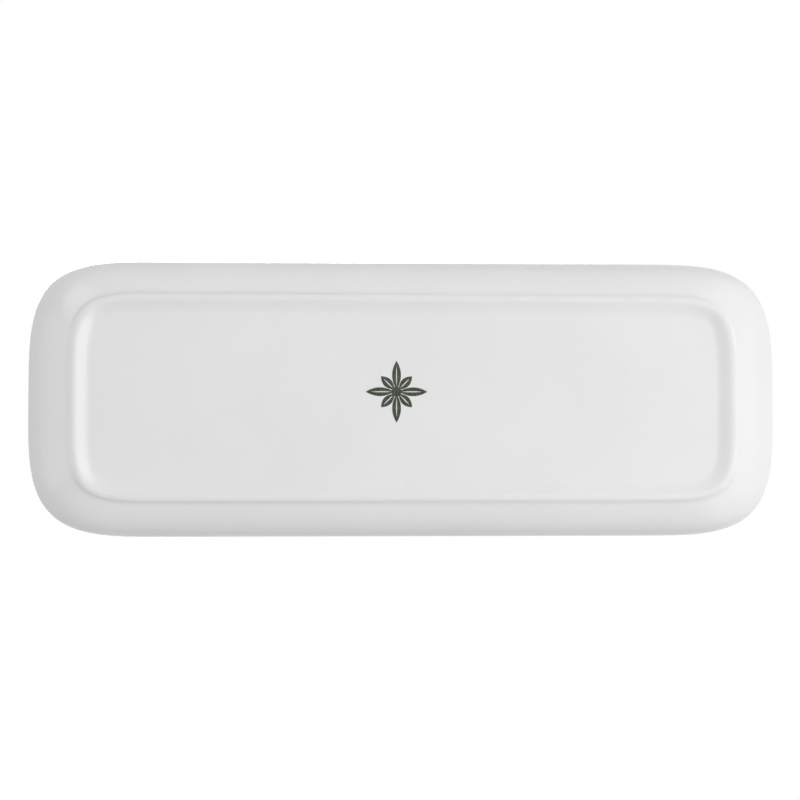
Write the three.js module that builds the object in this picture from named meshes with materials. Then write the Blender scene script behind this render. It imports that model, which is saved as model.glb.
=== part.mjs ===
// A rectangular porcelain serving plate, standing on its foot ring.
// Millimetres, +Z up, X along the plate. The origin is on the table, under the middle of the plate.
// One fired body carries three thin layers: the glaze over its face and outside, the glaze inside its
// foot ring, and a small print on the base.
import * as THREE from 'three';
import { mergeVertices } from 'three/addons/utils/BufferGeometryUtils.js';

// Overall size, over the glaze
const PLATE_LENGTH = 380;
const PLATE_WIDTH = 139.4;
const PLATE_HEIGHT = 20;

// Outline of the rim: straight long sides that round off into the ends, as superellipse quarters
const RIM_END_RUN = 71;
const RIM_EXPONENT = 3.85;

// Wall: how far it leans out past the foot, and its slope, in degrees, where it leaves the foot and meets
// the lip. It holds each slope over a share of its reach.
const SIDE_LEAN = 17.2;
const SIDE_FOOT_SLOPE = 20;
const SIDE_LIP_SLOPE = 80;
const END_LEAN = 20.8;
const END_FOOT_SLOPE = 29;
const END_LIP_SLOPE = 43;
const FOOT_SLOPE_HOLD = 0.32;
const LIP_SLOPE_HOLD = 0.43;
const LIP_RADIUS = 2;

// Foot ring, in section from its outer edge inwards
const FOOT_END_RUN = 56;
const FOOT_EXPONENT = 4.7;
const FOOT_HEIGHT = 1.7;
const FOOT_SIDE_RUN = 1.8;
const FOOT_END_SIDE_RUN = 2.6;
const FOOT_FACE_WIDTH = 2;
const FOOT_BARE_RUN = 0.8;
const FOOT_GLAZED_RUN = 6.5;

// Base and well
const BASE_RECESS = 2.6;
const WELL_THICKNESS = 4.3;
const WELL_ROUNDING = 10;

// Glaze: its thickness, and the heights on the foot's outer side and inner slope where it stops
const GLAZE = 0.3;
const OUTER_GLAZE_LINE = 0.5;
const INNER_GLAZE_LINE = 0.4;

// Print: a ring of long and short leaves on a hub, and how far it sits from the middle of the base
const PRINT_LEAVES = 8;
const PRINT_LONG_SPAN = 31;
const PRINT_SHORT_SPAN = 22;
const PRINT_LEAF_WIDTH = 4;
const PRINT_ROOT_WIDTH = 1.4;
const PRINT_HUB_DIAMETER = 5;
const PRINT_THICKNESS = 0.1;
const PRINT_X = -5.3;
const PRINT_Y = -3.1;

// Finishes
const BARE_PORCELAIN = { color: 0xe8e7e3, roughness: 0.6, metalness: 0 };
const WHITE_GLAZE = { color: 0xededec, roughness: 0.15, metalness: 0 };
const GREEN_PRINT = { color: 0x303c2a, roughness: 0.35, metalness: 0 };

// Facets
const SIDE_STEPS = 3;
const END_STEPS = 8;
const FOOT_STEPS = 4;
const WALL_STEPS = 6;
const LIP_STEPS = 6;
const WELL_STEPS = 6;
const LEAF_STEPS = 5;

// Heights on the body
const PANEL_Z = BASE_RECESS + GLAZE;
const FLOOR_Z = PANEL_Z + WELL_THICKNESS;
const BODY_TOP = PLATE_HEIGHT - GLAZE;

const RIM = {
  halfLength: PLATE_LENGTH / 2 - GLAZE,
  halfWidth: PLATE_WIDTH / 2 - GLAZE,
  endRun: RIM_END_RUN,
  exponent: RIM_EXPONENT,
};
const FOOT = {
  halfLength: PLATE_LENGTH / 2 - END_LEAN,
  halfWidth: PLATE_WIDTH / 2 - SIDE_LEAN,
  endRun: FOOT_END_RUN,
  exponent: FOOT_EXPONENT,
};
const SPINE_HALF = FOOT.halfLength - FOOT.halfWidth;

const point = (x, y) => new THREE.Vector2(x, y);
const heading = (angle, length) => point(length * Math.cos(angle), length * Math.sin(angle));

// One quarter of an outline, from the middle of a long side to the middle of an end, with outward normals.
function quarterOutline({ halfLength, halfWidth, endRun, exponent }) {
  const straight = halfLength - endRun;
  const power = 2 / exponent;
  const quarter = [];
  for (let step = 0; step < SIDE_STEPS; step++) {
    quarter.push({ at: point((straight * step) / SIDE_STEPS, halfWidth), normal: point(0, 1) });
  }
  for (let step = 0; step <= END_STEPS; step++) {
    const angle = (Math.PI / 2) * (step / END_STEPS);
    const along = Math.sin(angle);
    const across = Math.max(Math.cos(angle), 0);
    quarter.push({
      at: point(straight + endRun * along ** power, halfWidth * across ** power),
      normal: point(along ** (2 - power) / endRun, across ** (2 - power) / halfWidth).normalize(),
    });
  }
  return quarter;
}

// The whole outline, counter-clockwise from the middle of the +X end.
function outline(shape) {
  const clockwise = quarterOutline(shape);
  const counter = [...clockwise].reverse();
  const turned = (quarter, x, y) =>
    quarter.slice(0, -1).map(({ at, normal }) => ({
      at: point(at.x * x, at.y * y),
      normal: point(normal.x * x, normal.y * y),
    }));
  return [
    ...turned(counter, 1, 1),
    ...turned(clockwise, -1, 1),
    ...turned(counter, -1, -1),
    ...turned(clockwise, 1, -1),
  ];
}

// The places round the plate where its section is drawn. The lean is the wall's run square to the foot.
function sectionStations() {
  const rim = outline(RIM);
  return outline(FOOT).map(({ at, normal }, index) => {
    const reach = rim[index].at.clone().sub(at);
    return { foot: at, normal, reach, lean: reach.dot(normal) };
  });
}

// Puts a point of a section, given by its run past the foot and its height, at its place on the plate.
function placed(station, { x: run, y: height }) {
  const flat = station.foot.clone();
  if (run < 0) flat.addScaledVector(station.normal, run);
  else flat.addScaledVector(station.reach, run / station.lean);
  return new THREE.Vector3(flat.x, flat.y, height);
}

// The point of the plate's middle line that a station looks to.
function spinePoint(station, height) {
  return new THREE.Vector3(THREE.MathUtils.clamp(station.foot.x, -SPINE_HALF, SPINE_HALF), 0, height);
}

// The foot's section: the base panel's edge, the glazed and bare slopes down to the face, and the outer side.
function footSection(sideRun) {
  const faceOuter = point(-sideRun, 0);
  const faceInner = point(faceOuter.x - FOOT_FACE_WIDTH, 0);
  const glazeInner = point(faceInner.x - FOOT_BARE_RUN, INNER_GLAZE_LINE);
  const panelEdge = point(glazeInner.x - FOOT_GLAZED_RUN, PANEL_Z);
  const wallStart = point(0, FOOT_HEIGHT);
  const glazeOuter = faceOuter.clone().lerp(wallStart, OUTER_GLAZE_LINE / FOOT_HEIGHT);
  const slope = new THREE.CubicBezierCurve(
    panelEdge,
    point((panelEdge.x + glazeInner.x) / 2, PANEL_Z),
    glazeInner.clone().multiplyScalar(2).sub(faceInner),
    glazeInner,
  );
  return { inside: slope.getPoints(FOOT_STEPS), face: [faceInner, faceOuter], glazeOuter, wallStart };
}

// The wall's section: a curve up from the foot to the round lip, and a soft curve down to the well floor.
function wallSection(wallStart, lean, footSlope, lipSlope) {
  const lipCentre = point(lean - LIP_RADIUS, BODY_TOP - LIP_RADIUS);
  const from = lipSlope - Math.PI / 2;
  const lip = new THREE.EllipseCurve(lipCentre.x, lipCentre.y, LIP_RADIUS, LIP_RADIUS, from, from + Math.PI);
  const lipStart = lip.getPoint(0);
  const lipEnd = lip.getPoint(1);
  const reach = lipStart.distanceTo(wallStart);
  const wall = new THREE.CubicBezierCurve(
    wallStart,
    heading(footSlope, FOOT_SLOPE_HOLD * reach).add(wallStart),
    heading(lipSlope, -LIP_SLOPE_HOLD * reach).add(lipStart),
    lipStart,
  );
  const corner = point(lipEnd.x - (lipEnd.y - FLOOR_Z) / Math.tan(lipSlope), FLOOR_Z);
  const floorEdge = point(corner.x - WELL_ROUNDING, FLOOR_Z);
  const well = new THREE.QuadraticBezierCurve(lipEnd, corner, floorEdge);
  return [
    ...wall.getPoints(WALL_STEPS),
    ...lip.getPoints(LIP_STEPS).slice(1),
    ...well.getPoints(WELL_STEPS).slice(1),
  ];
}

// The body's whole section at a station, in two stretches that the glaze covers and the bare face between.
function bodySection(station) {
  const between = (side, end) => THREE.MathUtils.lerp(side, end, station.normal.x ** 2);
  const { inside, face, glazeOuter, wallStart } = footSection(between(FOOT_SIDE_RUN, FOOT_END_SIDE_RUN));
  const footSlope = THREE.MathUtils.degToRad(between(SIDE_FOOT_SLOPE, END_FOOT_SLOPE));
  const lipSlope = THREE.MathUtils.degToRad(between(SIDE_LIP_SLOPE, END_LIP_SLOPE));
  return { inside, face, outside: [glazeOuter, ...wallSection(wallStart, station.lean, footSlope, lipSlope)] };
}

// A section line moved out to its right by a distance, with mitred corners.
function offsetLine(line, distance) {
  const normals = line.slice(1).map((next, index) => {
    const step = next.clone().sub(line[index]).normalize();
    return point(step.y, -step.x);
  });
  return line.map((at, index) => {
    const before = normals[Math.max(index - 1, 0)];
    const after = normals[Math.min(index, normals.length - 1)];
    const mitre = before.clone().add(after);
    return at.clone().addScaledVector(mitre, (2 * distance) / mitre.lengthSq());
  });
}

// The glaze's outer line over a stretch of the section that runs out of, or into, a level face.
function glazeLine(line, levelFirst) {
  const level = point(-1, 0);
  if (levelFirst) return offsetLine([line[0].clone().add(level), ...line], GLAZE).slice(1);
  return offsetLine([...line, line.at(-1).clone().add(level)], GLAZE).slice(0, -1);
}

// The two triangles of a quad, split along its shorter diagonal, so that two skins that share a quad also
// share its fold. A quad that has shrunk to a triangle gives one.
function quadFaces(points, [a, b, c, d]) {
  if (points[a].equals(points[b])) return [b, c, d];
  if (points[c].equals(points[d])) return [a, b, c];
  const split = points[b].distanceTo(points[d]) < points[a].distanceTo(points[c]);
  return split ? [a, b, d, b, c, d] : [a, b, c, a, c, d];
}

// Joins the stations' sections into one closed skin. A section starts and ends on the middle line, with the
// solid on its left.
function closedSkin(sectionOf) {
  const rows = sectionStations().map((station) => {
    const section = sectionOf(bodySection(station));
    const first = spinePoint(station, section[0].y);
    const last = spinePoint(station, section.at(-1).y);
    return [first, ...section.map((at) => placed(station, at)), last];
  });
  const points = rows.flat();
  const width = rows[0].length;
  const faces = rows.flatMap((row, index) => {
    const here = index * width;
    const there = ((index + 1) % rows.length) * width;
    return row.slice(1).flatMap((_, step) =>
      quadFaces(points, [here + step, there + step, there + step + 1, here + step + 1]),
    );
  });
  const geometry = new THREE.BufferGeometry().setFromPoints(points).setIndex(faces);
  const skin = mergeVertices(geometry);
  skin.computeVertexNormals();
  return skin;
}

// The fired body, from the base panel round the foot, wall and lip to the well floor.
function porcelainBody() {
  return closedSkin(({ inside, face, outside }) => [...inside, ...face, ...outside]);
}

// The glaze over the well, the lip and the outside, down to its line on the foot.
function glazeCoat() {
  return closedSkin(({ outside }) => [...[...outside].reverse(), ...glazeLine(outside, false)]);
}

// The glaze inside the foot ring.
function baseGlaze() {
  return closedSkin(({ inside }) => [...glazeLine(inside, true), ...[...inside].reverse()]);
}

// The print: leaves of two lengths round a hub, drawn as one outline.
function basePrint() {
  const hub = PRINT_HUB_DIAMETER / 2;
  const rootAngle = Math.asin(PRINT_ROOT_WIDTH / 2 / hub);
  const shape = new THREE.Shape();
  for (let leaf = 0; leaf < PRINT_LEAVES; leaf++) {
    const span = leaf % 2 ? PRINT_SHORT_SPAN : PRINT_LONG_SPAN;
    const angle = Math.PI / 2 + (2 * Math.PI * leaf) / PRINT_LEAVES;
    const outward = point(Math.cos(angle), Math.sin(angle));
    const sideways = point(-outward.y, outward.x);
    const tip = outward.clone().multiplyScalar(span / 2);
    const middle = outward.clone().multiplyScalar((hub + span / 2) / 2);
    const belly = (side) => middle.clone().addScaledVector(sideways, side * PRINT_LEAF_WIDTH);
    const root = (side) => point(Math.cos(angle + side * rootAngle), Math.sin(angle + side * rootAngle));
    const start = root(-1).multiplyScalar(hub);
    const end = root(1).multiplyScalar(hub);
    if (leaf === 0) shape.moveTo(start.x, start.y);
    else shape.lineTo(start.x, start.y);
    shape.quadraticCurveTo(belly(-1).x, belly(-1).y, tip.x, tip.y);
    shape.quadraticCurveTo(belly(1).x, belly(1).y, end.x, end.y);
  }
  return new THREE.ExtrudeGeometry(shape, {
    depth: PRINT_THICKNESS,
    bevelEnabled: false,
    curveSegments: LEAF_STEPS,
  });
}

function namedMesh(name, geometry, finish) {
  const mesh = new THREE.Mesh(geometry, new THREE.MeshStandardMaterial(finish));
  mesh.name = name;
  return mesh;
}

const print = namedMesh('base_print', basePrint(), GREEN_PRINT);
print.position.set(PRINT_X, PRINT_Y, BASE_RECESS - PRINT_THICKNESS);

const plate = new THREE.Group();
plate.name = 'rectangular_plate';
plate.add(
  namedMesh('porcelain_body', porcelainBody(), BARE_PORCELAIN),
  namedMesh('glaze_coat', glazeCoat(), WHITE_GLAZE),
  namedMesh('base_glaze', baseGlaze(), WHITE_GLAZE),
  print,
);

export default plate;
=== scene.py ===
"""A rectangular white porcelain plate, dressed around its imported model.

The plate stands on its foot ring with +Z up, and the camera looks up at its underside.
All sizes are in metres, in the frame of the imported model.
"""

import logging
import math
from dataclasses import dataclass, field
from enum import Enum
from typing import Any, Union

import bmesh
import bpy
import numpy as np
from mathutils import Matrix, Vector
from mathutils.geometry import tessellate_polygon


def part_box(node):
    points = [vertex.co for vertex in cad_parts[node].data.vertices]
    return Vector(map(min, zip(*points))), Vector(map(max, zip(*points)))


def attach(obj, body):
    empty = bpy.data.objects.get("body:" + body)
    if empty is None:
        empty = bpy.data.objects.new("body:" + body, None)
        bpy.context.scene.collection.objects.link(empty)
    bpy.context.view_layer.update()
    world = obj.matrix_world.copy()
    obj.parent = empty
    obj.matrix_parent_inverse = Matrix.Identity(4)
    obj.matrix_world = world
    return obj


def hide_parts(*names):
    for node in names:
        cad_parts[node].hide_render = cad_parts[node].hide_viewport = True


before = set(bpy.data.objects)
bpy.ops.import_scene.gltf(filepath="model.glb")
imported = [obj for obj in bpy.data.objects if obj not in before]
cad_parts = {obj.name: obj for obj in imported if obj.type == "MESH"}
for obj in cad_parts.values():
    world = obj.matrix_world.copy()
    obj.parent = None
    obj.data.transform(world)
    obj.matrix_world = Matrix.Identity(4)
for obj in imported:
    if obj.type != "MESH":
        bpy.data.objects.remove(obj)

LOG = logging.getLogger("plate")
MM = 0.001
BODY = "root"
IMAGE_PIXELS = 800
SENSOR_WIDTH = 36.0
SHARP_EDGE = math.radians(60)
WELD_DISTANCE = 1e-4 * MM
LEVEL_STEP = 1 * MM
POOL_AND_SHADE = "pool_and_shade"
NOISE_MIDDLE = 0.5
WHITE = (1.0, 1.0, 1.0)

Colour = tuple[float, float, float]
Pair = tuple[float, float]
ByStation = Union[float, np.ndarray]
SocketKey = Union[int, str]
Value = Union["Wire", float, tuple]


class Slot(Enum):
    """The record's material slots."""

    BARE_PORCELAIN = "bare_porcelain"
    WHITE_GLAZE = "white_glaze"
    GREEN_PRINT = "green_print"


class Wire:
    """A shader socket that takes part in Python expressions, each of which adds a Math node."""

    def __init__(self, board: "NodeBoard", socket: bpy.types.NodeSocket) -> None:
        """Keeps the socket and the board that its Math nodes go on."""
        self.board = board
        self.socket = socket

    def _math(self, operation: str, first: Value, second: Value) -> "Wire":
        """The result of one Math node on two values."""
        return self.board.node("ShaderNodeMath", {"operation": operation}, {0: first, 1: second})

    def __add__(self, other: Value) -> "Wire":
        """self + other."""
        return self._math("ADD", self, other)

    def __radd__(self, other: Value) -> "Wire":
        """other + self."""
        return self._math("ADD", other, self)

    def __sub__(self, other: Value) -> "Wire":
        """self - other."""
        return self._math("SUBTRACT", self, other)

    def __rsub__(self, other: Value) -> "Wire":
        """other - self."""
        return self._math("SUBTRACT", other, self)

    def __mul__(self, other: Value) -> "Wire":
        """self * other."""
        return self._math("MULTIPLY", self, other)

    def __rmul__(self, other: Value) -> "Wire":
        """other * self."""
        return self._math("MULTIPLY", other, self)

    def __lt__(self, other: Value) -> "Wire":
        """1 where self is less than other, else 0."""
        return self._math("LESS_THAN", self, other)

    def ramp(self, low: float, high: float) -> "Wire":
        """A smooth step from 0 at low to 1 at high."""
        sockets = {0: self, 1: low, 2: high, 3: 0.0, 4: 1.0}
        return self.board.node("ShaderNodeMapRange", {"interpolation_type": "SMOOTHSTEP"}, sockets)


@dataclass(frozen=True)
class Lumps:
    """A noise: how many lumps it has to a metre, and how many rounds of finer lumps lie on them."""

    per_metre: float
    detail: float


class NodeBoard:
    """A node tree that is written as code."""

    def __init__(self, tree: bpy.types.NodeTree) -> None:
        """Empties the tree."""
        self.tree = tree
        tree.nodes.clear()

    def node(
        self,
        kind: str,
        settings: dict[str, Any],
        sockets: dict[SocketKey, Value],
        out: SocketKey = 0,
    ) -> Wire:
        """Adds a node.

        Args:
            kind: the node's type name.
            settings: its properties, which are set before its sockets.
            sockets: a value or a wire for each input, by name or number.
            out: the output that is returned.

        Returns:
            The chosen output as a wire, or the first input of a node that has no output.
        """
        made = self.tree.nodes.new(kind)
        for name, setting in settings.items():
            setattr(made, name, setting)
        for key, value in sockets.items():
            if isinstance(value, Wire):
                self.tree.links.new(value.socket, made.inputs[key])
            else:
                made.inputs[key].default_value = value
        return Wire(self, made.outputs[out] if made.outputs else made.inputs[0])

    def blend(self, factor: Value, first: Value, second: Value) -> Wire:
        """A colour between two colours."""
        return self.node("ShaderNodeMix", {"data_type": "RGBA"}, {0: factor, 6: first, 7: second}, 2)

    def mix(self, factor: Value, first: Wire, second: Wire) -> Wire:
        """A shader between two shaders."""
        return self.node("ShaderNodeMixShader", {}, {0: factor, 1: first, 2: second})

    def place(self) -> Wire:
        """The point being shaded, in metres in the frame of its piece."""
        return self.node("ShaderNodeTexCoord", {}, {}, "Object")

    def noise(self, place: Wire, lumps: Lumps) -> Wire:
        """Noise between 0 and 1."""
        sockets = {"Vector": place, "Scale": lumps.per_metre, "Detail": lumps.detail}
        return self.node("ShaderNodeTexNoise", {}, sockets)

    def bump(self, height: Wire, depth: float) -> Wire:
        """A normal that stands up by depth where height is 1."""
        sockets = {"Height": height, "Distance": depth, "Strength": 1.0}
        return self.node("ShaderNodeBump", {}, sockets, "Normal")

    def attribute(self, name: str) -> Wire:
        """A value that the mesh holds at each point."""
        return self.node("ShaderNodeAttribute", {"attribute_name": name}, {}, "Fac")

    def surface(self, shader: Wire) -> None:
        """Makes the shader the material's surface."""
        self.node("ShaderNodeOutputMaterial", {}, {"Surface": shader})

    def opaque_surface(self, colour: Wire, roughness: Wire, normal: Wire) -> None:
        """Makes the material's surface an opaque one of this colour, roughness and normal."""
        sockets = {"Base Color": colour, "Roughness": roughness, "Normal": normal}
        self.surface(self.node("ShaderNodeBsdfPrincipled", {}, sockets))


def opaque(colour: Colour) -> tuple[float, float, float, float]:
    """The colour with full alpha, as a colour socket takes it."""
    return (*colour, 1.0)


def new_material(name: str) -> tuple[bpy.types.Material, NodeBoard]:
    """Makes an empty material.

    Args:
        name: its name.

    Returns:
        The material and its board.
    """
    material = bpy.data.materials.new(name)
    material.use_nodes = True
    return material, NodeBoard(material.node_tree)


@dataclass(frozen=True)
class WhiteGlazeFinish:
    """Clear glossy glaze over white porcelain, drawn darker grey where it pools in the foot's crevice:
    partly thicker glaze, partly painted shade.

    It is cloudy, gently wavy and faintly dimpled. A speck's radius is a share of its cell, and only a share
    of the cells hold one.
    """

    thin: Colour = (0.817, 0.817, 0.817)
    thick: Colour = (0.797, 0.797, 0.797)
    # Painted shade: this darker grey stands partly for thicker pooled glaze and partly for the shade in the
    # foot's crevice and corners.
    pooled_and_shaded: Colour = (0.743, 0.743, 0.743)
    clouds: Lumps = Lumps(per_metre=16.0, detail=3.0)
    cloud_ramp: Pair = (0.3, 0.7)
    roughness: float = 0.16
    smear: float = 0.06
    waves: Lumps = Lumps(per_metre=45.0, detail=1.0)
    wave_depth: float = 0.05 * MM
    dimples: Lumps = Lumps(per_metre=420.0, detail=2.0)
    dimple_share: float = 0.12
    speck: Colour = (0.7, 0.69, 0.67)
    speck_cells_per_metre: float = 190.0
    speck_radius: float = 0.055
    speck_share: float = 0.06

    def material(self, name: str) -> bpy.types.Material:
        """The finish as a material.

        Args:
            name: the material's name.

        Returns:
            The material.
        """
        material, board = new_material(name)
        place = board.place()
        clouds = board.noise(place, self.clouds)
        white = board.blend(clouds.ramp(*self.cloud_ramp), opaque(self.thin), opaque(self.thick))
        # Painted shade: where the mesh's pool value is high, in the foot's crevice and corners, the colour
        # goes darker grey, partly for pooled glaze.
        white = board.blend(board.attribute(POOL_AND_SHADE), white, opaque(self.pooled_and_shaded))
        colour = board.blend(self._specks(board, place), white, opaque(self.speck))
        roughness = self.roughness + self.smear * (clouds - NOISE_MIDDLE)
        waves = board.noise(place, self.waves) + self.dimple_share * board.noise(place, self.dimples)
        board.opaque_surface(colour, roughness, board.bump(waves, self.wave_depth))
        return material

    def _specks(self, board: NodeBoard, place: Wire) -> Wire:
        """1 in the few tiny specks that the kiln leaves, else 0.

        Args:
            board: the material's board.
            place: the point being shaded.

        Returns:
            The mask.
        """
        cells = {"Vector": place, "Scale": self.speck_cells_per_metre}
        distance = board.node("ShaderNodeTexVoronoi", {}, cells, "Distance")
        chance = board.node("ShaderNodeTexVoronoi", {}, cells, "Color")
        share = board.node("ShaderNodeSeparateColor", {}, {0: chance})
        return (distance < self.speck_radius) * (share < self.speck_share)


@dataclass(frozen=True)
class BarePorcelainFinish:
    """Unglazed porcelain on the foot's face: matt, fine-grained and rubbed a little grey."""

    clean: Colour = (0.8, 0.8, 0.797)
    rubbed: Colour = (0.765, 0.763, 0.757)
    rubs: Lumps = Lumps(per_metre=75.0, detail=4.0)
    rub_ramp: Pair = (0.52, 0.78)
    rub_share: float = 0.5
    roughness: float = 0.55
    grain: Lumps = Lumps(per_metre=2600.0, detail=2.0)
    grain_roughness: float = 0.2
    grain_depth: float = 0.02 * MM

    def material(self, name: str) -> bpy.types.Material:
        """The finish as a material.

        Args:
            name: the material's name.

        Returns:
            The material.
        """
        material, board = new_material(name)
        place = board.place()
        grain = board.noise(place, self.grain)
        rubs = self.rub_share * board.noise(place, self.rubs).ramp(*self.rub_ramp)
        colour = board.blend(rubs, opaque(self.clean), opaque(self.rubbed))
        roughness = self.roughness + self.grain_roughness * (grain - NOISE_MIDDLE)
        board.opaque_surface(colour, roughness, board.bump(grain, self.grain_depth))
        return material


@dataclass(frozen=True)
class GreenPrintFinish:
    """Dark olive green ceramic colour, fired on with a slightly uneven density."""

    dense: Colour = (0.018, 0.028, 0.013)
    light: Colour = (0.055, 0.078, 0.042)
    mottle: Lumps = Lumps(per_metre=700.0, detail=3.0)
    mottle_ramp: Pair = (0.35, 0.75)
    roughness: float = 0.28
    mottle_roughness: float = 0.12
    grain: Lumps = Lumps(per_metre=4000.0, detail=2.0)
    grain_depth: float = 0.01 * MM

    def material(self, name: str) -> bpy.types.Material:
        """The finish as a material.

        Args:
            name: the material's name.

        Returns:
            The material.
        """
        material, board = new_material(name)
        place = board.place()
        mottle = board.noise(place, self.mottle)
        grain = board.noise(place, self.grain)
        colour = board.blend(mottle.ramp(*self.mottle_ramp), opaque(self.dense), opaque(self.light))
        roughness = self.roughness + self.mottle_roughness * mottle
        board.opaque_surface(colour, roughness, board.bump(grain, self.grain_depth))
        return material


@dataclass(frozen=True)
class PaleFloorFinish:
    """A pale matt floor that fades to white away from the plate and can't be seen from below."""

    near: Colour = (0.76, 0.76, 0.755)
    fade: Pair = (0.35, 1.3)

    def material(self, name: str) -> bpy.types.Material:
        """The finish as a material.

        Args:
            name: the material's name.

        Returns:
            The material.
        """
        material, board = new_material(name)
        away = board.node("ShaderNodeVectorMath", {"operation": "LENGTH"}, {0: board.place()}, "Value")
        matt = board.node("ShaderNodeBsdfDiffuse", {}, {"Color": opaque(self.near)})
        white = board.node("ShaderNodeEmission", {}, {"Color": opaque(WHITE), "Strength": 1.0})
        clear = board.node("ShaderNodeBsdfTransparent", {}, {})
        below = board.node("ShaderNodeNewGeometry", {}, {}, "Backfacing")
        board.surface(board.mix(below, board.mix(away.ramp(*self.fade), matt, white), clear))
        return material


def all_quarters(quarter: np.ndarray) -> np.ndarray:
    """A closed loop from one quarter.

    Args:
        quarter: points from the middle of the +Y side to the middle of the +X end.

    Returns:
        The loop, counter-clockwise from the middle of the +X end.
    """
    back = quarter[::-1]
    turns = ((back, (1, 1)), (quarter, (-1, 1)), (back, (-1, -1)), (quarter, (1, -1)))
    return np.concatenate([part[:-1] * turn for part, turn in turns])


def heading(angle: np.ndarray, length: np.ndarray) -> np.ndarray:
    """Steps of a length at an angle, one for each station."""
    return np.column_stack([length * np.cos(angle), length * np.sin(angle)])


def arc(centre: np.ndarray, radius: float, start: np.ndarray, turn: float, points: int) -> np.ndarray:
    """Arcs, one for each station.

    Args:
        centre: their centres.
        radius: their radius.
        start: the angles that they start at.
        turn: the angle that they go through.
        points: the number of points on each.

    Returns:
        Points, by station and step.
    """
    angle = start[:, None] + turn * np.linspace(0, 1, points)
    return centre[:, None] + radius * np.stack([np.cos(angle), np.sin(angle)], axis=-1)


def bezier(controls: list[np.ndarray], start: ByStation, end: ByStation, points: int) -> np.ndarray:
    """Stretches of Bezier curves, one for each station.

    Args:
        controls: the control points, each by station.
        start: how far along its curve each stretch starts, from 0 to 1.
        end: how far along its curve each stretch ends.
        points: the number of points on each.

    Returns:
        Points, by station and step.
    """
    share = np.atleast_2d(np.linspace(start, end, points, axis=-1))[..., None]
    level = [point[:, None] for point in controls]
    while len(level) > 1:
        level = [first * (1 - share) + second * share for first, second in zip(level, level[1:])]
    return level[0]


def unit(vectors: np.ndarray) -> np.ndarray:
    """The vectors at a length of 1."""
    return vectors / np.linalg.norm(vectors, axis=-1, keepdims=True)


def right_of(direction: np.ndarray) -> np.ndarray:
    """The directions a quarter turn to the right."""
    return np.stack([direction[..., 1], -direction[..., 0]], axis=-1)


def run_along(line: np.ndarray) -> np.ndarray:
    """How far each point of each station's line is from the line's start."""
    steps = np.linalg.norm(np.diff(line, axis=1), axis=-1)
    return np.concatenate([np.zeros((len(line), 1)), np.cumsum(steps, axis=1)], axis=1)


def moved_out(line: np.ndarray, distance: np.ndarray) -> np.ndarray:
    """Each station's line moved to its right by a distance at each point."""
    return line + right_of(unit(np.gradient(line, axis=1))) * distance[..., None]


def soft_step(values: np.ndarray) -> np.ndarray:
    """A smooth step from 0 to 1."""
    share = np.clip(values, 0, 1)
    return share * share * (3 - 2 * share)


@dataclass(frozen=True)
class Outline:
    """A rectangle whose ends round off as superellipse quarters."""

    half_length: float
    half_width: float
    end_run: float
    exponent: float

    def loop(self, side_steps: int, end_steps: int) -> tuple[np.ndarray, np.ndarray]:
        """The closed outline.

        Args:
            side_steps: steps along half a straight side.
            end_steps: steps round a quarter.

        Returns:
            Its points and its outward normals.
        """
        straight = self.half_length - self.end_run
        power = 2 / self.exponent
        slant = 2 - power
        angle = np.linspace(0, math.pi / 2, end_steps + 1)
        along, across = np.sin(angle), np.abs(np.cos(angle))
        side = np.linspace(0, straight, side_steps, endpoint=False)
        rounded = np.column_stack([straight + self.end_run * along**power, self.half_width * across**power])
        facing = np.column_stack([along**slant / self.end_run, across**slant / self.half_width])
        points = np.concatenate([np.column_stack([side, np.full(side_steps, self.half_width)]), rounded])
        normals = np.concatenate([np.tile([0.0, 1.0], (side_steps, 1)), unit(facing)])
        return all_quarters(points), all_quarters(normals)


@dataclass(frozen=True)
class SideEnd:
    """A size that changes round the plate, from its long sides to its ends."""

    side: float
    end: float


@dataclass(frozen=True)
class SectionLines:
    """The plate's surface at every station: two glazed stretches and the bare crest of the foot between."""

    inside: np.ndarray
    bare: np.ndarray
    outside: np.ndarray


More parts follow.
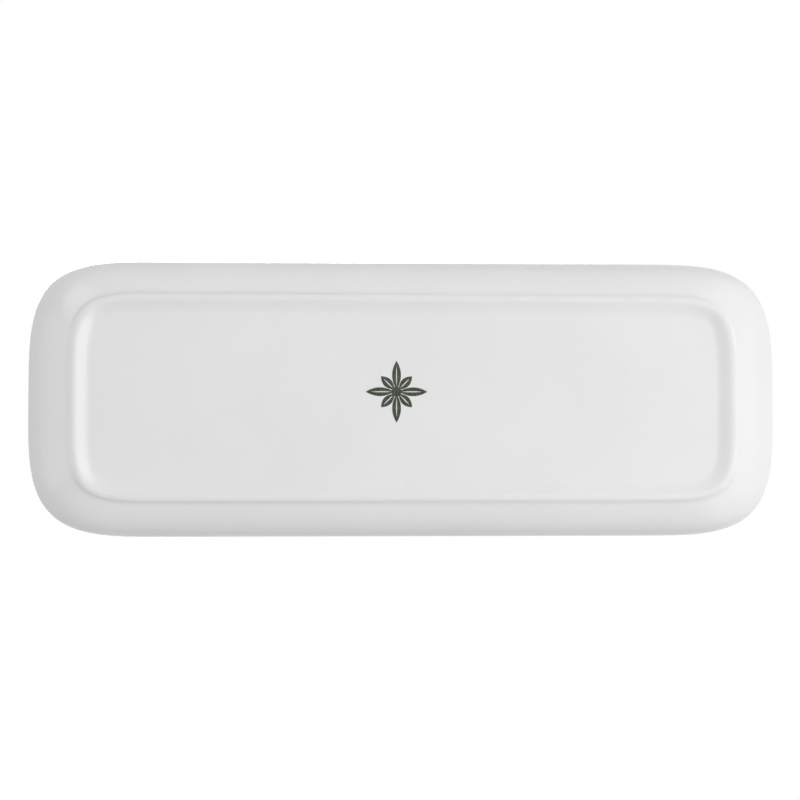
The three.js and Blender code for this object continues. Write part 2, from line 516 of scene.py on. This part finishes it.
@dataclass
class PlateForm:
    """The plate's sizes, and the sections that its layers share.

    A section is drawn at every station round the foot, by its run past the foot's crevice, where the wall
    leaves the foot, and its height above the table.
    """

    # The rim and the lip
    length: float = 380 * MM
    width: float = 139.4 * MM
    height: float = 20 * MM
    rim_end_run: float = 71 * MM
    rim_exponent: float = 3.85
    lip_radius: float = 2.3 * MM

    # The wall: its lean past the foot, its slopes at the foot and at the lip, and how long it holds them
    wall_lean: SideEnd = SideEnd(17.2 * MM, 20.8 * MM)
    foot_slope: SideEnd = SideEnd(math.radians(20), math.radians(29))
    lip_slope: SideEnd = SideEnd(math.radians(80), math.radians(43))
    slope_holds: Pair = (0.32, 0.43)

    # The foot's outline, then its section from the crevice in to the base panel
    foot_end_run: float = 56 * MM
    foot_exponent: float = 4.7
    foot_height: float = 1.5 * MM
    side_corner: SideEnd = SideEnd(1.1 * MM, 2.2 * MM)
    side_run: SideEnd = SideEnd(2.7 * MM, 3.3 * MM)
    crest_width: float = 0.25 * MM
    crest_ease: SideEnd = SideEnd(2 * MM, 1.6 * MM)
    slope_run: SideEnd = SideEnd(8.2 * MM, 8.6 * MM)
    panel_ease: SideEnd = SideEnd(3.7 * MM, 3 * MM)
    base_recess: float = 2.6 * MM

    # The well
    well_thickness: float = 4.3 * MM
    well_rounding: float = 10 * MM

    # The glaze: how it thins out to its wiped edges, where those lie, and how far they wander
    glaze: float = 0.3 * MM
    edge_share: float = 0.05
    feather: float = 1.2 * MM
    glaze_line: float = 0.5 * MM
    bare_share: float = 0.18
    wander_reach: float = 0.12 * MM
    wander_waves: tuple[int, ...] = (5, 11, 17, 29)
    seed: int = 7

    # The crevice's fill of glaze, which grows along the plate as the foot's forms go soft
    crevice_reach: float = 0.4 * MM
    crevice_ease: float = 2.2 * MM
    crevice_fill: float = 0.8 * MM
    soft_crest: SideEnd = SideEnd(0.0, 1.6 * MM)
    soft_from: float = -70 * MM
    soft_to: float = 40 * MM
    firm_share: float = 0.45

    # Steps along half a side and round a quarter, then points on each stretch of a section
    side_steps: int = 20
    end_steps: int = 40
    panel_points: int = 27
    inner_bare_points: int = 6
    outer_bare_points: int = 8
    foot_side_points: int = 6
    crevice_points: int = 8
    wall_points: int = 27
    lip_points: int = 25
    well_points: int = 31

    # What is worked out at the stations
    spine_half: float = field(init=False)
    foot: np.ndarray = field(init=False)
    normal: np.ndarray = field(init=False)
    reach: np.ndarray = field(init=False)
    lean: np.ndarray = field(init=False)

    def __post_init__(self) -> None:
        """Lays out the stations round the foot and the rim."""
        rim = Outline(self.length / 2, self.width / 2, self.rim_end_run, self.rim_exponent)
        half_length = rim.half_length - self.wall_lean.end
        half_width = rim.half_width - self.wall_lean.side
        foot = Outline(half_length, half_width, self.foot_end_run, self.foot_exponent)
        self.spine_half = foot.half_length - foot.half_width
        self.foot, self.normal = foot.loop(self.side_steps, self.end_steps)
        self.reach = rim.loop(self.side_steps, self.end_steps)[0] - self.foot
        self.lean = (self.reach * self.normal).sum(axis=1)

    @property
    def floor_z(self) -> float:
        """The height of the well's floor."""
        return self.base_recess + self.well_thickness + 2 * self.glaze

    def between(self, size: SideEnd) -> np.ndarray:
        """The size at every station."""
        return size.side + (size.end - size.side) * self.normal[:, 0] ** 2

    def cornering(self) -> np.ndarray:
        """How far round a corner each station is, from 0 on the sides and ends to 1 halfway."""
        return (2 * self.normal.prod(axis=1)) ** 2

    def softness(self) -> np.ndarray:
        """How soft the foot's forms are, from 0 to 1: it grows towards +X, and less so on the +Y side."""
        along = soft_step((self.foot[:, 0] - self.soft_from) / (self.soft_to - self.soft_from))
        return along * (1 - self.firm_share * np.maximum(self.normal[:, 1], 0))

    def fill(self) -> np.ndarray:
        """How far the glaze reaches out of the foot's crevice at each station, past its least reach."""
        return self.crevice_fill * self.softness()

    def wander(self) -> np.ndarray:
        """How far the wiped edges of the glaze wander.

        Returns:
            The way up or down the foot, by station.
        """
        draw = np.random.default_rng(self.seed)
        step = np.linalg.norm(np.roll(self.foot, -1, axis=0) - self.foot, axis=1)
        turn = 2 * math.pi * np.cumsum(step) / step.sum()
        waves = sum(np.sin(count * turn + draw.uniform(0, 2 * math.pi)) for count in self.wander_waves)
        return self.wander_reach * waves / len(self.wander_waves)

    def at(self, run: ByStation, height: float) -> np.ndarray:
        """A section point at every station."""
        return np.column_stack([np.broadcast_to(run, len(self.foot)), np.full(len(self.foot), height)])

    def section(self) -> SectionLines:
        """Draws the plate's section at every station.

        Returns:
            The lines of its surface.
        """
        side_run, slope_run = self.between(self.side_run), self.between(self.slope_run)
        crest_ease = self.between(self.crest_ease) + self.between(self.soft_crest) * self.softness()
        slope_foot = -side_run - self.crest_width
        slope_head = slope_foot - slope_run
        slope = [
            self.at(slope_head, self.base_recess),
            self.at(slope_head + self.between(self.panel_ease), self.base_recess),
            self.at(slope_foot - crest_ease, 0.0),
            self.at(slope_foot, 0.0),
        ]
        corner = self.at(-self.between(self.side_corner), 0.0)
        crevice = self.at(0.0, self.foot_height)
        side = [self.at(-side_run, 0.0), corner, crevice]
        wander = self.wander()
        inner_edge = 1 - self.bare_share - wander / slope_run
        outer_edge = np.sqrt((self.glaze_line + wander) / self.foot_height)
        # A curve with one handle runs into its end at twice the handle's length.
        end_speed = 2 * np.linalg.norm(crevice - corner, axis=1)
        side_end = 1 - (self.crevice_reach + self.fill()) / end_speed
        inside = bezier(slope, 0, inner_edge, self.panel_points)
        inner_bare = bezier(slope, inner_edge, 1, self.inner_bare_points)
        outer_bare = bezier(side, 0, outer_edge, self.outer_bare_points)
        glazed_side = bezier(side, outer_edge, side_end, self.foot_side_points)
        bare = np.concatenate([inner_bare[:, 1:], outer_bare[:, :-1]], axis=1)
        return SectionLines(inside, bare, self._outside(glazed_side, crevice))

    def _outside(self, glazed_side: np.ndarray, crevice: np.ndarray) -> np.ndarray:
        """The stretch from the foot's outer side up the wall, over the lip and down to the well floor.

        Args:
            glazed_side: the glazed part of the foot's outer side, by station and step.
            crevice: the corner where the wall leaves the foot, by station.

        Returns:
            Points, by station and step.
        """
        lip_centre = self.at(self.lean - self.lip_radius, self.height - self.lip_radius)
        foot_slope, lip_slope = self.between(self.foot_slope), self.between(self.lip_slope)
        lip = arc(lip_centre, self.lip_radius, lip_slope - math.pi / 2, math.pi, self.lip_points)
        lip_start, lip_end = lip[:, 0], lip[:, -1]
        chord = np.linalg.norm(lip_start - crevice, axis=1)
        foot_hold, lip_hold = (chord * hold for hold in self.slope_holds)
        foot_handle = crevice + heading(foot_slope, foot_hold)
        lip_handle = lip_start - heading(lip_slope, lip_hold)
        # A curve with two handles leaves its start at three times the first one's length.
        start = (self.crevice_ease + self.fill()) / (3 * foot_hold)
        wall = bezier([crevice, foot_handle, lip_handle, lip_start], start, 1, self.wall_points)
        soft = bezier([glazed_side[:, -1], crevice, wall[:, 0]], 0, 1, self.crevice_points)
        drop = lip_end[:, 1] - self.floor_z
        corner = self.at(lip_end[:, 0] - drop / np.tan(lip_slope), self.floor_z)
        well = bezier([lip_end, corner, corner - [self.well_rounding, 0]], 0, 1, self.well_points)
        return np.concatenate([glazed_side, soft[:, 1:], wall[:, 1:], lip[:, 1:], well[:, 1:]], axis=1)

    def under(self, line: np.ndarray, edge_first: bool) -> np.ndarray:
        """The body's line under a glazed stretch, whose glaze thins out to its wiped edge.

        Args:
            line: the surface of the glaze.
            edge_first: whether the wiped edge is at the line's start.

        Returns:
            Points, by station and step.
        """
        run = run_along(line)
        from_edge = run if edge_first else run[:, -1:] - run
        share = self.edge_share + (1 - self.edge_share) * soft_step(from_edge / self.feather)
        # The far end goes on level for one step, so that its glaze is moved straight up or down.
        level = (line[:, -1:] if edge_first else line[:, :1]) - [LEVEL_STEP, 0]
        whole = np.concatenate([line, level] if edge_first else [level, line], axis=1)
        ends = ((0, 0), (0, 1)) if edge_first else ((0, 0), (1, 0))
        moved = moved_out(whole, -self.glaze * np.pad(share, ends, mode="edge"))
        return moved[:, :-1] if edge_first else moved[:, 1:]

    def placed(self, section: np.ndarray) -> np.ndarray:
        """Section points at their places on the plate, with the middle line added at both ends.

        Args:
            section: run and height, by station and step.

        Returns:
            Points in space, by station and step.
        """
        run, height = section[..., 0], section[..., 1]
        inner = self.normal[:, None] * np.minimum(run, 0)[..., None]
        outer = self.reach[:, None] * (np.maximum(run, 0) / self.lean[:, None])[..., None]
        flat = self.foot[:, None] + inner + outer
        points = np.concatenate([flat, height[..., None]], axis=-1)
        spine = np.zeros((len(points), 2, 3))
        spine[..., 0] = np.clip(self.foot[:, :1], -self.spine_half, self.spine_half)
        spine[..., 2] = height[:, [0, -1]]
        return np.concatenate([spine[:, :1], points, spine[:, 1:]], axis=1)


def linked(name: str, content: bpy.types.ID) -> bpy.types.Object:
    """Puts a new object in the scene.

    Args:
        name: its name.
        content: the mesh, lamp or camera that it shows.

    Returns:
        The object.
    """
    made = bpy.data.objects.new(name, content)
    bpy.context.scene.collection.objects.link(made)
    return made


def closed_skin(name: str, rows: np.ndarray, pool_and_shade: np.ndarray) -> bpy.types.Object:
    """Joins the stations' sections into one smooth closed piece.

    Args:
        name: the piece's name.
        rows: points in space, by station and step, that start and end on the middle line.
        pool_and_shade: how far glaze pools at each point, which also sets how much painted shade darkens
            it.

    Returns:
        The piece.
    """
    stations, steps = rows.shape[:2]
    here = np.arange(stations)[:, None] * steps + np.arange(steps - 1)
    there = np.roll(here, -1, axis=0)
    quads = np.stack([here, there, there + 1, here + 1], axis=-1).reshape(-1, 4)
    mesh = bpy.data.meshes.new(name)
    mesh.from_pydata(rows.reshape(-1, 3).tolist(), [], quads.tolist())
    mesh.attributes.new(POOL_AND_SHADE, "FLOAT", "POINT").data.foreach_set("value", pool_and_shade.ravel().astype(np.float32))
    welded = bmesh.new()
    welded.from_mesh(mesh)
    bmesh.ops.remove_doubles(welded, verts=welded.verts, dist=WELD_DISTANCE)
    welded.to_mesh(mesh)
    welded.free()
    mesh.polygons.foreach_set("use_smooth", [True] * len(mesh.polygons))
    mesh.set_sharp_from_angle(angle=SHARP_EDGE)
    return linked(name, mesh)


def dressed(piece: bpy.types.Object, material: bpy.types.Material, node: str) -> bpy.types.Object:
    """Gives a piece its material and its place in the frame.

    Args:
        piece: the piece.
        material: its material.
        node: the CAD node that it stands for.

    Returns:
        The piece.
    """
    piece.data.materials.append(material)
    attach(piece, BODY)
    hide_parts(node)
    return piece


@dataclass
class PorcelainBody:
    """The fired body: base panel, foot ring, wall, lip and well."""

    form: PlateForm
    finish: BarePorcelainFinish = BarePorcelainFinish()

    def build(self) -> bpy.types.Object:
        """Builds and dresses the body.

        Returns:
            The piece.
        """
        lines = self.form.section()
        inside, outside = self.form.under(lines.inside, False), self.form.under(lines.outside, True)
        rows = self.form.placed(np.concatenate([inside, lines.bare, outside], axis=1))
        piece = closed_skin("fired_body", rows, np.zeros(rows.shape[:2]))
        return dressed(piece, self.finish.material("bare_porcelain"), "porcelain_body")


@dataclass
class GlazeCoat:
    """The glaze over the well, the lip and the outside of the wall, which pools in the foot's crevice,
    where painted shade darkens it too.
    """

    form: PlateForm
    finish: WhiteGlazeFinish = WhiteGlazeFinish()
    # How far the glaze is drawn darker near the crevice: partly pooled glaze, partly painted shade, more in
    # the corners.
    pool_and_shade_depth: SideEnd = SideEnd(0.75, 0.35)
    pool_and_shade_in_corners: float = 0.35
    pool_and_shade_fade: float = 0.7
    pool_and_shade_spread: float = 0.8 * MM

    def build(self) -> bpy.types.Object:
        """Builds and dresses the coat.

        Returns:
            The piece.
        """
        over = self.form.section().outside
        under = self.form.under(over, True)
        rows = self.form.placed(np.concatenate([under[:, ::-1], over], axis=1))
        pooled_and_shaded = self._pool_and_shade(over)
        pool_and_shade = np.zeros(rows.shape[:2])
        pool_and_shade[:, -1 - pooled_and_shaded.shape[1] : -1] = pooled_and_shaded
        piece = closed_skin("outer_glaze", rows, pool_and_shade)
        return dressed(piece, self.finish.material("white_glaze"), "glaze_coat")

    def _pool_and_shade(self, over: np.ndarray) -> np.ndarray:
        """How far the glaze pools at each point of its surface, which also sets how much painted shade
        darkens it.

        Args:
            over: the surface, by station and step.

        Returns:
            The depth of the pool and its painted shade, from 0 to about 1.
        """
        # Painted shade: deeper in the corners, and weaker towards +X, where the foot's forms go soft and
        # the key lamp stands.
        depth = self.form.between(self.pool_and_shade_depth) + self.pool_and_shade_in_corners * self.form.cornering()
        depth = depth * (1 - self.pool_and_shade_fade * self.form.softness())
        from_crevice = np.linalg.norm(over - [0, self.form.foot_height], axis=-1)
        return depth[:, None] * np.exp(-0.5 * (from_crevice / self.pool_and_shade_spread) ** 2)


@dataclass
class BaseGlaze:
    """The island of glaze inside the foot ring."""

    form: PlateForm
    finish: WhiteGlazeFinish = WhiteGlazeFinish()

    def build(self) -> bpy.types.Object:
        """Builds and dresses the panel of glaze.

        Returns:
            The piece.
        """
        over = self.form.section().inside
        under = self.form.under(over, False)
        rows = self.form.placed(np.concatenate([over, under[:, ::-1]], axis=1))
        piece = closed_skin("inner_glaze", rows, np.zeros(rows.shape[:2]))
        return dressed(piece, self.finish.material("base_white_glaze"), "base_glaze")


@dataclass
class LeafPrint:
    """A ring of long and short leaves, printed on the base, each with a clear midrib."""

    leaves: int = 8
    short_span: float = 22 * MM
    leaf_width: float = 4 * MM
    root_width: float = 1.4 * MM
    hub: float = 2.5 * MM
    rib_width: float = 0.55 * MM
    rib_share: float = 0.8
    curve_points: int = 19
    finish: GreenPrintFinish = GreenPrintFinish()

    def build(self) -> bpy.types.Object:
        """Builds and dresses the print, at the place and size of its CAD node.

        Returns:
            The piece.
        """
        low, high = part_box("base_print")
        centre = (low + high) / 2
        outline, ribs = self._drawing((high.y - low.y) / 2)
        mesh = bpy.data.meshes.new("leaf_print")
        mesh.from_pydata(*self._solid([outline, *ribs], centre, low.z, high.z))
        piece = linked("leaf_print", mesh)
        return dressed(piece, self.finish.material("green_print"), "base_print")

    def _curve(self, first: np.ndarray, belly: np.ndarray, last: np.ndarray) -> np.ndarray:
        """A curve from one point to another that is drawn out towards a third."""
        return bezier([first[None], belly[None], last[None]], 0, 1, self.curve_points)[0]

    def _drawing(self, long_reach: float) -> tuple[np.ndarray, list[np.ndarray]]:
        """The print's lines in its own plane.

        Args:
            long_reach: from the middle to the tip of a long leaf.

        Returns:
            The outline, and one closed line round each midrib.
        """
        outline, ribs = [], []
        root_angle = math.asin(self.root_width / 2 / self.hub)
        for leaf in range(self.leaves):
            reach = self.short_span / 2 if leaf % 2 else long_reach
            angle = math.pi / 2 + 2 * math.pi * leaf / self.leaves
            outward = np.array([math.cos(angle), math.sin(angle)])
            sideways = np.array([-outward[1], outward[0]])
            middle, tip = outward * (self.hub + reach) / 2, outward * reach
            for side in (-1, 1):
                turned = angle + side * root_angle
                root = self.hub * np.array([math.cos(turned), math.sin(turned)])
                belly = middle + side * sideways * self.leaf_width
                curve = self._curve(root, belly, tip) if side < 0 else self._curve(tip, belly, root)[1:]
                outline.append(curve)
            ribs.append(self._rib(outward, sideways, reach))
        return np.concatenate(outline), ribs

    def _rib(self, outward: np.ndarray, sideways: np.ndarray, reach: float) -> np.ndarray:
        """A slim lens along a leaf's middle, from the hub to near the tip.

        Args:
            outward: the leaf's direction.
            sideways: the direction across the leaf.
            reach: from the print's middle to the leaf's tip.

        Returns:
            The closed line.
        """
        first, last = outward * self.hub, outward * (self.hub + self.rib_share * (reach - self.hub))
        middle, bulge = (first + last) / 2, sideways * self.rib_width
        there = self._curve(first, middle + bulge, last)
        back = self._curve(last, middle - bulge, first)
        return np.concatenate([there[:-1], back[:-1]])

    @staticmethod
    def _solid(
        loops: list[np.ndarray], centre: Vector, bottom: float, top: float
    ) -> tuple[list[tuple], list[tuple], list[tuple]]:
        """A flat solid between closed lines.

        Args:
            loops: the outline, then the lines round its holes.
            centre: the middle of the print.
            bottom: the height of its lower face.
            top: the height of its upper face.

        Returns:
            Points, no edges, and faces.
        """
        flat = np.concatenate(loops) + [centre.x, centre.y]
        count = len(flat)
        points = [(x, y, z) for z in (bottom, top) for x, y in flat.tolist()]
        caps = tessellate_polygon([[Vector((x, y, 0)) for x, y in loop.tolist()] for loop in loops])
        faces = []
        for a, b, c in caps:
            (ax, ay), (bx, by), (cx, cy) = flat[a], flat[b], flat[c]
            rising = (bx - ax) * (cy - ay) - (by - ay) * (cx - ax) > 0
            faces.append((c, b, a) if rising else (a, b, c))
            faces.append(tuple(count + index for index in ((a, b, c) if rising else (c, b, a))))
        start = 0
        for loop in loops:
            ring = [start + index for index in range(len(loop))]
            x, y = loop[:, 0], loop[:, 1]
            area = (x * np.roll(y, -1) - y * np.roll(x, -1)).sum()
            outer_way = (area > 0) == (start == 0)
            for here, there in zip(ring, ring[1:] + ring[:1]):
                side = (here, there, count + there, count + here)
                faces.append(side if outer_way else side[::-1])
            start += len(loop)
        return points, [], faces


@dataclass(frozen=True)
class PhotoCamera:
    """A camera nearly square on to the underside, with its right along +X and its top towards -Y."""

    focal_pixels: float = 1912.0
    distance: float = 0.958
    turn: float = math.radians(3.8)
    tilt: float = math.radians(-2.34)
    roll: float = math.radians(0.04)
    right: float = 3.64 * MM
    up: float = 1.08 * MM
    subject_z: float = 1.4 * MM
    nearest: float = 10 * MM

    def build(self) -> None:
        """Adds the camera and makes it the scene's."""
        lens = bpy.data.cameras.new("photo_camera")
        lens.sensor_width = SENSOR_WIDTH
        lens.lens = self.focal_pixels / IMAGE_PIXELS * SENSOR_WIDTH
        lens.clip_start = self.nearest
        camera = linked("photo_camera", lens)
        subject = Matrix.Rotation(self.roll, 3, "Z") @ Matrix.Rotation(self.tilt, 3, "X")
        subject = subject @ Matrix.Rotation(self.turn, 3, "Y")
        under = Matrix.Rotation(math.pi, 3, "X") @ subject.transposed()
        spot = under @ Vector((-self.right, -self.up, self.distance)) + Vector((0, 0, self.subject_z))
        camera.matrix_world = Matrix.Translation(spot) @ under.to_4x4()
        bpy.context.scene.camera = camera


@dataclass(frozen=True)
class Softbox:
    """A square lamp that faces the plate."""

    name: str
    spot: tuple[float, float, float]
    side: float
    watts: float

    def build(self) -> None:
        """Adds the lamp."""
        lamp = bpy.data.lights.new(self.name, "AREA")
        lamp.size = self.side
        lamp.energy = self.watts
        piece = linked(self.name, lamp)
        piece.location = self.spot
        piece.rotation_euler = (-Vector(self.spot)).to_track_quat("-Z", "Y").to_euler()


@dataclass(frozen=True)
class Studio:
    """A pale floor, a white surround that gives a little more light from below, and soft lamps."""

    floor_side: float = 8.0
    floor_drop: float = 0.2 * MM
    floor_finish: PaleFloorFinish = PaleFloorFinish()
    light_below: float = 0.461
    light_above: float = 0.43
    light_seen: float = 1.0
    horizon: Pair = (-0.12, 0.12)
    lamps: tuple[Softbox, ...] = (
        Softbox("right_key", (0.9, 0.0, -0.9), 1.0, 7.1),
        Softbox("key_front", (0.89, -0.92, -1.28), 0.48, 1.55),
        Softbox("key_back", (0.92, 0.89, -1.28), 0.48, 1.25),
        Softbox("right_low", (1.6, 0.0, -0.6), 1.0, 1.4),
        Softbox("right_front", (1.15, -1.15, -0.6), 1.0, 1.7),
        Softbox("right_back", (1.15, 1.15, -0.6), 1.0, 1.5),
        Softbox("left_low", (-1.6, 0.0, -0.6), 1.0, 2.9),
        Softbox("left_front", (-1.2, -0.9, -1.2), 1.1, 4.8),
        Softbox("overhead", (-0.3, -0.4, 2.0), 1.4, 24.0),
    )

    def build(self) -> None:
        """Adds the floor, the surround and the lamps."""
        self._floor()
        self._surround()
        for lamp in self.lamps:
            lamp.build()

    def _floor(self) -> None:
        """A floor that only the camera sees, so that light reaches the underside."""
        half = self.floor_side / 2
        corners = [(x * half, y * half, -self.floor_drop) for x, y in ((-1, -1), (1, -1), (1, 1), (-1, 1))]
        mesh = bpy.data.meshes.new("floor")
        mesh.from_pydata(corners, [], [(0, 1, 2, 3)])
        mesh.materials.append(self.floor_finish.material("pale_floor"))
        floor = linked("floor", mesh)
        floor.visible_diffuse = False
        floor.visible_glossy = False
        floor.visible_transmission = False
        floor.visible_shadow = False

    def _surround(self) -> None:
        """White to the eye and in reflections, and two softer levels of light for everything else."""
        world = bpy.data.worlds.new("studio")
        bpy.context.scene.world = world
        world.use_nodes = True
        board = NodeBoard(world.node_tree)
        direction = board.node("ShaderNodeTexCoord", {}, {}, "Generated")
        height = board.node("ShaderNodeSeparateXYZ", {}, {0: direction}, "Z")
        below, above, bright = (
            board.node("ShaderNodeBackground", {}, {"Color": opaque(WHITE), "Strength": strength})
            for strength in (self.light_below, self.light_above, self.light_seen)
        )
        soft = board.mix(height.ramp(*self.horizon), below, above)
        rays = ("Is Camera Ray", "Is Glossy Ray", "Is Transmission Ray")
        camera, glossy, clear = (board.node("ShaderNodeLightPath", {}, {}, ray) for ray in rays)
        seen = board.mix(camera + glossy + clear, soft, bright)
        board.node("ShaderNodeOutputWorld", {}, {"Surface": seen})


def main() -> None:
    """Builds the studio and the plate's layers, and reports each piece."""
    logging.basicConfig(level=logging.INFO, format="%(name)s: %(message)s")
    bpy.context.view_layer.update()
    bpy.context.scene.view_settings.view_transform = "Standard"
    PhotoCamera().build()
    Studio().build()
    form = PlateForm()
    for layer in (PorcelainBody(form), GlazeCoat(form), BaseGlaze(form), LeafPrint()):
        piece = layer.build()
        LOG.info("%s: %d faces in %s", piece.name, len(piece.data.polygons), piece.data.materials[0].name)


if __name__ == "__main__":
    main()
